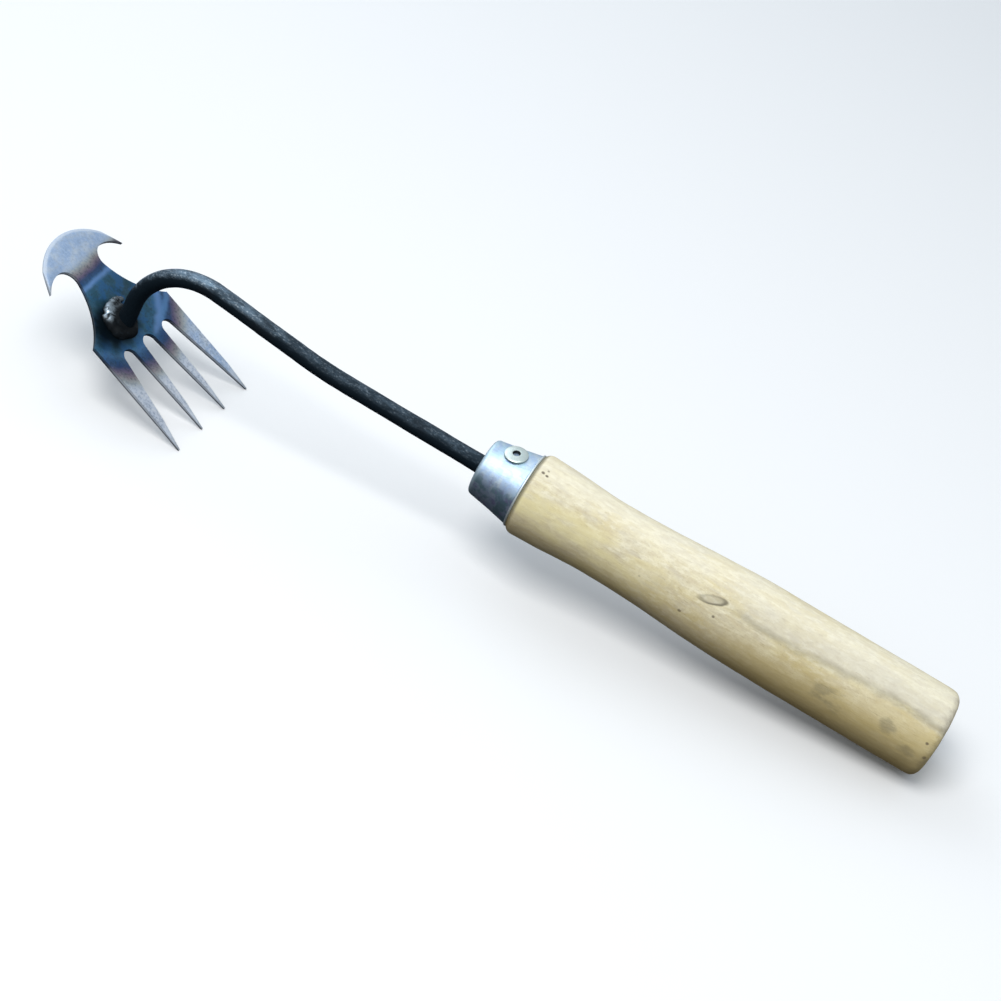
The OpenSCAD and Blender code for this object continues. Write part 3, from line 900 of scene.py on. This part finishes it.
def modify(piece, kind, **settings):
    """Adds a modifier to a piece and applies it."""
    alone(piece)
    modifier = piece.modifiers.new(kind.title(), kind)
    for key, value in settings.items():
        setattr(modifier, key, value)
    bpy.ops.object.modifier_apply(modifier=modifier.name)


def roughen(piece, name, size, depth, group=""):
    """Sinks a piece's surface here and there by soft lumps of a size, up to a depth, in metres."""
    clouds = bpy.data.textures.new(name, "CLOUDS")
    clouds.noise_scale = size
    clouds.noise_depth = 2
    modify(piece, "DISPLACE", texture=clouds, texture_coords="LOCAL", strength=depth,
           mid_level=1.0, vertex_group=group)


def pull(piece, place, move, size):
    """Moves the corner nearest to a place, and its neighbours less, as by hand."""
    alone(piece)
    points = piece.data.vertices
    nearest = min(points, key=lambda point: (point.co - place).length_squared).index
    bpy.ops.object.mode_set(mode="EDIT")
    bpy.ops.mesh.select_all(action="DESELECT")
    bpy.ops.object.mode_set(mode="OBJECT")
    points[nearest].select = True
    bpy.ops.object.mode_set(mode="EDIT")
    bpy.ops.transform.translate(value=move, use_proportional_edit=True, proportional_size=size,
                                proportional_edit_falloff="SMOOTH", use_proportional_connected=True)
    bpy.ops.object.mode_set(mode="OBJECT")


def on_handle(at, facing, radius):
    """A point of the tool, with its distance from the ferrule's front and its radius in mm.

    It faces a number of degrees from the top to the right.
    """
    turn = math.radians(facing)
    return TOOL @ (Vector((at, -radius * math.sin(turn), radius * math.cos(turn))) * MM)


def inward(facing, depth):
    """A move toward the handle's axis at a place round it."""
    turn = math.radians(facing)
    return TOOL.to_3x3() @ (Vector((0, math.sin(turn), -math.cos(turn))) * depth)


def arc(centre, radius, start, end, steps):
    """Points of an arc in a profile, angles in degrees."""
    for step in range(steps + 1):
        turn = math.radians(start + (end - start) * step / steps)
        yield centre[0] + radius * math.cos(turn), centre[1] + radius * math.sin(turn)


def hand_over(piece, node, material, smooth=40):
    """Shades a finished piece, paints it and lets it stand for its CAD node."""
    alone(piece)
    bpy.ops.object.shade_smooth_by_angle(angle=math.radians(smooth))
    piece.data.materials.clear()
    piece.data.materials.append(material)
    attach(piece, BODY)
    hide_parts(node)


def outline(node):
    """Outer profile of a turned CAD node: (x, radius) in millimetres, in order along its axis."""
    inside = np.array(TOOL.inverted())
    points = corners(node) @ inside[:3, :3].T + inside[:3, 3]
    widest = {}
    for x, radius in zip(points[:, 0] / MM, np.hypot(points[:, 1], points[:, 2]) / MM):
        key = round(float(x), 2)
        widest[key] = max(widest.get(key, 0), float(radius))
    return sorted(widest.items())


def rod_radius(context):
    """The rod's radius in millimetres, which the handle's bore and the ferrule's hole follow."""
    return context.scene.rake_rod.radius / MM


# ---- The pieces -------------------------------------------------------------------

# Points of the handle's profile beyond this radius are its outside, in mm
OUTSIDE = 8.0

# Lengths of the handle's rounded edges, where the CAD's own rings are kept, in mm
FRONT_ROUND, BUTT_ROUND = 2.6, 4.0

# The tang's end and point in mm, and how much thinner it is at its end
TANG_END, TANG_POINT, TANG_TAPER = 78, 9, 3

# The spigot under the ferrule: its front and its radii there and at its rear, in mm
SPIGOT_AT, SPIGOT_FRONT, SPIGOT_REAR = 0.8, 8.6, 12.0

# Radii at which the long dent and the butt's rim are pulled in, in mm
DENT_RADIUS, RIM_RADIUS = 14.9, 14.6

# Worn places on the butt's rim: degrees from the top to the right, depth and size in mm
RIM_WEAR = ((-30, 0.2, 5), (12, 0.28, 6), (48, 0.18, 4), (95, 0.25, 5), (150, 0.2, 5), (215, 0.25, 6))


def handle_skin(step):
    """The handle's outside: evenly spaced rings between the CAD's own at the rounded edges."""
    skin = [(x, radius) for x, radius in outline("handle")
            if x > FERRULE_REAR - 0.01 and radius > OUTSIDE]
    places, radii = zip(*skin)
    front = [(x, radius) for x, radius in skin if x < places[0] + FRONT_ROUND]
    butt = [(x, radius) for x, radius in skin if x > BUTT_AT - BUTT_ROUND]
    middle = []
    for index in range(int((BUTT_AT - BUTT_ROUND - places[0]) / step) + 1):
        x = places[0] + index * step
        if x > front[-1][0] + 0.4 * step:
            middle.append((x, float(np.interp(x, places, radii))))
    return front + middle + butt


class MakeHandle(bpy.types.Operator):
    """Turn the wooden handle, sand it a little uneven and dent it"""

    bl_idname = "rake.handle"
    bl_label = "Handle"

    def execute(self, context):
        look = context.scene.rake_handle
        bore = rod_radius(context)
        skin = handle_skin(look.ring_step / MM)
        tang_root = [(TANG_END, 0), (TANG_END, bore / TANG_TAPER), (TANG_END - TANG_POINT, bore)]
        spigot = [(SPIGOT_AT, bore), (SPIGOT_AT, SPIGOT_FRONT), (FERRULE_REAR, SPIGOT_REAR)]
        butt = [(BUTT_AT, skin[-1][1] * share) for share in (0.85, 0.7, 0.5, 0.3, 0.12, 0)]
        handle = turned("turned_handle", tang_root + spigot + skin + butt, look.segments)
        settle(handle, TOOL)

        # Sanding starts just behind the ferrule and reaches its full depth 8 mm later
        outside = handle.vertex_groups.new(name="outside")
        inside = TOOL.inverted()
        for corner in handle.data.vertices:
            spot = inside @ corner.co / MM
            behind = spot.x - FERRULE_REAR - 1.5
            if behind > 0 and math.hypot(spot.y, spot.z) > OUTSIDE:
                outside.add([corner.index], min(1.0, behind / 8), "REPLACE")
        roughen(handle, "sanding", 28 * MM, look.unevenness, "outside")
        roughen(handle, "tool_marks", 6 * MM, look.unevenness * 0.3, "outside")
        handle.vertex_groups.clear()

        # The long dent by the grain line, then worn places on the butt's rim
        for share in (-1, -0.5, 0, 0.5, 1):
            facing = DENT_FACING - share * 4.5
            depth = look.dent_depth * (1 - 0.5 * abs(share)) * 0.6
            place = on_handle(DENT_AT + share * 3, facing, DENT_RADIUS)
            pull(handle, place, inward(facing, depth), 1.7 * MM)
        for facing, depth, size in RIM_WEAR:
            place = on_handle(BUTT_AT - 0.9, facing, RIM_RADIUS)
            pull(handle, place, inward(facing, depth * MM), size * MM)
        hand_over(handle, "handle", wood(look), smooth=50)
        return {"FINISHED"}


# Rings of faces along the ferrule's cone
CONE_RINGS = 18


class MakeFerrule(bpy.types.Operator):
    """Draw the ferrule from sheet, with its round shoulder and rolled rear rim"""

    bl_idname = "rake.ferrule"
    bl_label = "Ferrule"

    def execute(self, context):
        look = context.scene.rake_ferrule
        wall, bead, shoulder = look.wall / MM, look.bead / MM, look.round / MM
        rod = rod_radius(context)
        front = max(radius for x, radius in outline("ferrule") if x < shoulder)
        widest = max(radius for x, radius in outline("ferrule"))
        known = [(shoulder, front)]
        for x, radius in outline("ferrule"):
            if 2 * shoulder < x < FERRULE_REAR - 2 * bead and radius > known[-1][1]:
                known.append((x, radius))
        known.append((FERRULE_REAR, widest - bead / 2))
        places = np.linspace(shoulder, FERRULE_REAR - 2.2 * bead, CONE_RINGS)
        cone = [(float(x), float(np.interp(x, *zip(*known)))) for x in places]
        round_off = list(arc((shoulder, front - shoulder), shoulder, 180, 98, 8))
        rim = list(arc((FERRULE_REAR - bead, cone[-1][1] + bead * 0.25), bead, 150, -60, 10))
        inner = [(x, radius - wall) for x, radius in reversed(cone)]
        hole = [(wall, front - shoulder), (wall, rod), (wall * 0.3, rod), (0, rod + 0.25)]
        profile = hole[-1:] + round_off + cone[1:] + rim + inner + hole
        ferrule = turned("drawn_ferrule", profile, look.segments)
        settle(ferrule, TOOL)
        roughen(ferrule, "drawing", 9 * MM, 0.07 * MM)
        hand_over(ferrule, "ferrule", zinc(look), smooth=50)
        return {"FINISHED"}


# The rod's route in millimetres and degrees: corner places, bend radii and slopes
RISE_AT, RISE_ANGLE, RISE_BEND = 60.6, 6.9, 130
ARCH_AT, ARCH_BEND = 67.8, 24.7
LEG_SLOPE, LEG_LENGTH = 83.8, 35.6


class MakeRod(bpy.types.Operator):
    """Bend the round rod: tang, gentle rise, arch and the leg down to the head"""

    bl_idname = "rake.rod"
    bl_label = "Rod"

    def execute(self, context):
        look = context.scene.rake_rod
        bpy.ops.object.select_all(action="DESELECT")
        bpy.ops.mesh.primitive_circle_add(vertices=look.segments, radius=look.radius / TANG_TAPER,
                                          fill_type="NGON", location=(TANG_END * MM, 0, 0),
                                          rotation=(0, math.pi / 2, 0))
        rod = added("bent_rod")
        bpy.ops.object.mode_set(mode="EDIT")
        bpy.ops.mesh.select_all(action="SELECT")
        place, slope = Vector((TANG_END, 0, 0)), 0.0

        def straight(length, grow=1):
            """Draws the rod out in a line, in rings, or in one step as it grows thicker."""
            nonlocal place
            count = max(1, round(length * MM / look.ring_step)) if grow == 1 else 1
            step = Vector((-math.cos(slope), 0, math.sin(slope))) * length / count
            for _ in range(count):
                bpy.ops.mesh.extrude_region_move(TRANSFORM_OT_translate={"value": step * MM})
                place = place + step
            if grow != 1:
                bpy.ops.transform.resize(value=(1, grow, grow), center_override=place * MM)

        def bend(bend_radius, degrees):
            """Bends the rod up, or down where the angle is below zero."""
            nonlocal place, slope
            turn = math.radians(degrees)
            up = math.copysign(1, turn)
            centre = place + Vector((math.sin(slope), 0, math.cos(slope))) * bend_radius * up
            count = max(2, round(abs(turn) * bend_radius * MM / look.ring_step))
            bpy.ops.mesh.spin(steps=count, angle=turn, center=centre * MM, axis=(0, -1, 0))
            slope += turn
            place = centre - Vector((math.sin(slope), 0, math.cos(slope))) * bend_radius * up

        rise_setback = RISE_BEND * math.tan(math.radians(RISE_ANGLE) / 2)
        arch_angle = RISE_ANGLE + LEG_SLOPE
        arch_setback = ARCH_BEND * math.tan(math.radians(arch_angle) / 2)
        straight(TANG_POINT, TANG_TAPER)
        straight(TANG_END - TANG_POINT + RISE_AT - rise_setback)
        bend(RISE_BEND, RISE_ANGLE)
        straight(ARCH_AT - rise_setback - arch_setback)
        bend(ARCH_BEND, -arch_angle)
        straight(LEG_LENGTH - arch_setback)
        close(rod)
        settle(rod, TOOL)

        # Dimples start in front of the ferrule and reach their full depth 10 mm ahead
        forged = rod.vertex_groups.new(name="forged")
        inside = TOOL.inverted()
        for corner in rod.data.vertices:
            ahead = -(inside @ corner.co).x / MM
            if ahead > 1:
                forged.add([corner.index], min(1, ahead / 10), "REPLACE")
        roughen(rod, "forging", 11 * MM, look.forge_mark * 1.6, "forged")
        roughen(rod, "scaling", 3.2 * MM, look.forge_mark, "forged")
        rod.vertex_groups.clear()
        hand_over(rod, "shank", mill_scale(look))
        return {"FINISHED"}


class MakeHead(bpy.types.Operator):
    """Take the stamped head's sheet, grind its tips thin and wear its sharp edges"""

    bl_idname = "rake.head"
    bl_label = "Head"

    def execute(self, context):
        look = context.scene.rake_head
        head = bpy.data.objects.new("stamped_head", frame["nodes"]["rake_head"].data.copy())
        context.scene.collection.objects.link(head)
        alone(head)
        bpy.ops.mesh.customdata_custom_splitnormals_clear()
        bpy.ops.object.mode_set(mode="EDIT")
        bpy.ops.mesh.select_all(action="SELECT")
        bpy.ops.mesh.remove_doubles(threshold=0.0005 * MM)
        bpy.ops.mesh.dissolve_limited(angle_limit=math.radians(0.3))

        # Cut a line across the tines, then lower the top of their tips beyond it
        bpy.ops.mesh.select_all(action="SELECT")
        bpy.ops.mesh.bisect(plane_co=PLATE @ Vector((look.tip_from, 0, 0)), plane_no=PLATE.col[0].xyz)
        bpy.ops.mesh.select_all(action="DESELECT")
        bpy.ops.object.mode_set(mode="OBJECT")
        inside = PLATE.inverted()
        for corner in head.data.vertices:
            spot = inside @ corner.co
            corner.select = spot.x > look.tip_from + 5 * MM and spot.z > 0
        bpy.ops.object.mode_set(mode="EDIT")
        bpy.ops.transform.translate(value=PLATE.col[2].xyz * -look.tip_ground)
        bpy.ops.object.mode_set(mode="OBJECT")
        modify(head, "BEVEL", width=look.edge, segments=2, limit_method="ANGLE",
               angle_limit=math.radians(28), miter_outer="MITER_ARC")
        modify(head, "TRIANGULATE", min_vertices=5)
        hand_over(head, "rake_head", tinted_steel(look), smooth=30)
        return {"FINISHED"}


# The weld's ring: how many beads, their radius and the ring's in mm, and its middle from the foot
RING_BEADS, BEAD_RADIUS, RING_RADIUS = 22, 2.3, 4.5
RING_MIDDLE = Vector((-1.3, ROD_SIDE - 1.2))

# Lumps of the ridge: ahead and beside the rod's foot, height over mid sheet, radius, in mm
RIDGE = (
    (-7.2, -2.6, 1.3, 1.7),
    (-7.9, -1.0, 1.5, 1.5),
    (-8.0, 0.8, 1.7, 1.6),
    (-8.1, 2.6, 1.6, 1.5),
    (-7.9, 4.3, 1.4, 1.35),
    (-7.3, 6.0, 1.1, 1.2),
    (-6.0, -5.7, 0.9, 1.1),
    (-4.7, -6.6, 0.9, 1.0),
)

# How deep in the sheet the weld ends, in mm
WELD_DEPTH = 0.4


class MakeWeld(bpy.types.Operator):
    """Lay the weld: overlapping beads round the rod's foot and a high ridge in front"""

    bl_idname = "rake.weld"
    bl_label = "Weld"

    def execute(self, context):
        look = context.scene.rake_weld
        chance = random.Random(11)
        beads = []

        def bead(ahead, side, up, size, flat=1.0):
            """Adds a drop of metal, lower than a ball where flat is below 1."""
            bpy.ops.object.select_all(action="DESELECT")
            bpy.ops.mesh.primitive_ico_sphere_add(subdivisions=3, radius=size * MM)
            ball = added("bead")
            ball.matrix_world = PLATE @ Matrix.Translation(Vector((ahead, side, up)) * MM)
            ball.matrix_world = ball.matrix_world @ Matrix.Diagonal((1, 1, flat, 1))
            beads.append(ball)

        for index in range(RING_BEADS):
            turn = math.tau * index / RING_BEADS
            size = BEAD_RADIUS + chance.uniform(-0.25, 0.35)
            ring = RING_RADIUS + chance.uniform(-0.3, 0.3)
            place = RING_MIDDLE + Vector((math.cos(turn), math.sin(turn))) * ring
            bead(place.x, place.y, 0.7, size)
        for ahead, side, up, size in RIDGE:
            bead(ahead, ROD_SIDE + side, up, size)
        bead(RING_MIDDLE.x, RING_MIDDLE.y, 0.9, 4.6, 0.62)
        alone(beads[0])
        for ball in beads:
            ball.select_set(True)
        bpy.ops.object.join()
        weld = bpy.context.object
        weld.name = weld.data.name = "weld_beads"
        bpy.ops.object.transform_apply(location=True, rotation=True, scale=True)

        # Melt the beads into one skin
        modify(weld, "REMESH", mode="VOXEL", voxel_size=look.voxel)
        modify(weld, "SMOOTH", factor=0.5, iterations=8)
        roughen(weld, "puddle", 3 * MM, look.ripple)

        # Cut it flat inside the sheet, then close its skin again
        out = PLATE.col[2].xyz
        cut = reach("rake_head", out)[1] - PLATE.translation.dot(out) - WELD_DEPTH * MM
        block = 40 * MM
        bpy.ops.object.select_all(action="DESELECT")
        bpy.ops.mesh.primitive_cube_add(size=block, location=(0, 0, cut - block / 2))
        below = added("below_the_sheet")
        settle(below, PLATE)
        modify(weld, "BOOLEAN", object=below, operation="DIFFERENCE", solver="EXACT")
        bpy.data.objects.remove(below)
        modify(weld, "REMESH", mode="VOXEL", voxel_size=look.voxel)
        hand_over(weld, "weld_bead", weld_metal(look), smooth=60)
        return {"FINISHED"}


# The rivet's flange and sleeve: heights and radii in mm
FLANGE_HEIGHT, FLANGE_RADIUS = 1.2, 4.0
SLEEVE_LENGTH, SLEEVE_RADIUS, BORE_RADIUS = 6.4, 2.0, 1.1


class MakeRivet(bpy.types.Operator):
    """Set the blind rivet: domed flange, sleeve and bulb, and the pin broken off inside"""

    bl_idname = "rake.rivet"
    bl_label = "Rivet"

    def execute(self, context):
        look = context.scene.rake_rivet
        under = -FLANGE_HEIGHT
        flange = []
        for degrees in range(24, 85, 6):
            turn = math.radians(degrees)
            flange.append((under * (1 - math.cos(turn) ** 0.8) * 0.6, FLANGE_RADIUS * math.sin(turn)))
        for height, less in ((0.42, 0.01), (0.06, 0.02), (0, 0.15)):
            flange.append((under + height, FLANGE_RADIUS - less))
        bulb = list(arc((under - 3.7, 0), 2.7, 48, 132, 12))
        end = under - SLEEVE_LENGTH
        blind = [(under, SLEEVE_RADIUS)] + bulb + [(end, SLEEVE_RADIUS), (end, BORE_RADIUS)]
        hole = [(-0.35, BORE_RADIUS), (-0.08, 1.25)]
        body = turned("rivet_flange", [hole[-1]] + flange + blind + hole, look.segments)
        settle(body, RIVET)
        roughen(body, "setting", 2 * MM, 0.05 * MM)
        hand_over(body, "rivet_body", rivet_alloy(look), smooth=50)

        stem = [(-8.5, 0), (-8.5, 1.87), (-7.6, 1.87), (-7.5, 1.09), (-1.7, 1.09), (-1.5, 0.95),
                (-1.75, 0.7), (-1.55, 0.4), (-1.8, 0)]
        pin = turned("rivet_pin", stem, look.segments // 2)
        settle(pin, RIVET)
        hand_over(pin, "rivet_mandrel", broken_pin(look), smooth=30)
        return {"FINISHED"}


# ---- Stage ------------------------------------------------------------------------


# Colours of the soft light from straight below, through the horizon, to straight above
SKY = (
    (0.0, (0.05, 0.05, 0.055)),
    (0.46, (0.1, 0.105, 0.12)),
    (0.5, (1.0, 1.0, 1.0)),
    (0.7, (0.86, 0.93, 1.0)),
    (1.0, (0.8, 0.9, 1.0)),
)


def lamp(name, place, size, power, shade):
    """A soft square light that points at the middle of the tool."""
    light = bpy.data.objects.new(name, bpy.data.lights.new(name, "AREA"))
    bpy.context.scene.collection.objects.link(light)
    light.data.size = size
    light.data.energy = power
    light.data.color = shade
    light.location = place
    light.rotation_euler = (-Vector(place)).to_track_quat("-Z", "Y").to_euler()


class MakeStage(bpy.types.Operator):
    """Lay a plain pale floor, hang soft lights and set the camera"""

    bl_idname = "rake.stage"
    bl_label = "Stage"

    def execute(self, context):
        look = context.scene.rake_stage
        bpy.ops.object.select_all(action="DESELECT")
        bpy.ops.mesh.primitive_plane_add(size=look.floor_size)
        floor = added("floor")
        paint = Paint(bpy.data.materials.new("pale_floor"))
        mottle = paint.noise(paint.node("ShaderNodeTexCoord", output="Object"), 0.4, 2)
        shade = paint.mix(mottle, look.floor_colour, [0.985 * part for part in look.floor_colour])
        floor.data.materials.append(paint.finish(Base_Color=shade, Roughness=0.9))
        floor.visible_diffuse = False
        floor.visible_glossy = False

        world = bpy.data.worlds.new("studio")
        context.scene.world = world
        paint = Paint(world)
        height = paint.parts(paint.node("ShaderNodeTexCoord", output="Generated"))[2]
        sky = paint.ramp(height * 0.5 + 0.5, SKY)
        light = paint.node("ShaderNodeBackground", None, {"Color": sky, "Strength": look.sky})
        paint.node("ShaderNodeOutputWorld", None, {"Surface": light})

        lamp("key", (-0.1, -0.42, 0.95), 0.55, look.key, (1, 0.99, 0.97))
        lamp("fill", (-0.7, 0.5, 0.7), 0.7, look.key * 0.35, (0.86, 0.93, 1))

        camera = bpy.data.objects.new("camera", bpy.data.cameras.new("camera"))
        context.scene.collection.objects.link(camera)
        turn = Matrix.Rotation(look.azimuth, 4, "Z")
        turn = turn @ Matrix.Rotation(math.pi / 2 - look.elevation, 4, "X")
        turn = turn @ Matrix.Rotation(look.roll, 4, "Z")
        back = turn @ Vector((0, 0, look.distance))
        camera.matrix_world = Matrix.Translation(Vector(look.aim) + back) @ turn
        camera.data.lens = look.lens
        camera.data.sensor_width = 36
        camera.data.clip_start, camera.data.clip_end = 0.01, 50
        context.scene.camera = camera
        context.scene.view_settings.view_transform = "Standard"
        return {"FINISHED"}


# ---- Add-on -----------------------------------------------------------------------


# Both lists are in the order in which the pieces are made, so the panel pairs them up
SETTINGS = {
    "rake_handle": HandleSettings,
    "rake_ferrule": FerruleSettings,
    "rake_rod": RodSettings,
    "rake_weld": WeldSettings,
    "rake_head": HeadSettings,
    "rake_rivet": RivetSettings,
    "rake_stage": StageSettings,
}
OPERATORS = (MakeHandle, MakeFerrule, MakeRod, MakeWeld, MakeHead, MakeRivet, MakeStage)


class RakePanel(bpy.types.Panel):
    """Lists the pieces and their settings"""

    bl_idname = "VIEW3D_PT_hand_rake"
    bl_label = "Hand rake"
    bl_space_type = "VIEW_3D"
    bl_region_type = "UI"
    bl_category = "Hand rake"

    def draw(self, context):
        for (name, group), maker in zip(SETTINGS.items(), OPERATORS):
            box = self.layout.box()
            box.operator(maker.bl_idname)
            for setting in group.__annotations__:
                box.prop(getattr(context.scene, name), setting)


def register():
    for group in (*SETTINGS.values(), *OPERATORS, RakePanel):
        bpy.utils.register_class(group)
    for name, group in SETTINGS.items():
        setattr(bpy.types.Scene, name, PointerProperty(type=group))


def unregister():
    for name in SETTINGS:
        delattr(bpy.types.Scene, name)
    for group in (RakePanel, *OPERATORS, *SETTINGS.values()):
        bpy.utils.unregister_class(group)


def main():
    """Makes every piece and the stage."""
    register()
    bpy.ops.rake.handle()
    bpy.ops.rake.ferrule()
    bpy.ops.rake.rod()
    bpy.ops.rake.weld()
    bpy.ops.rake.head()
    bpy.ops.rake.rivet()
    bpy.ops.rake.stage()


if __name__ == "__main__":
    main()
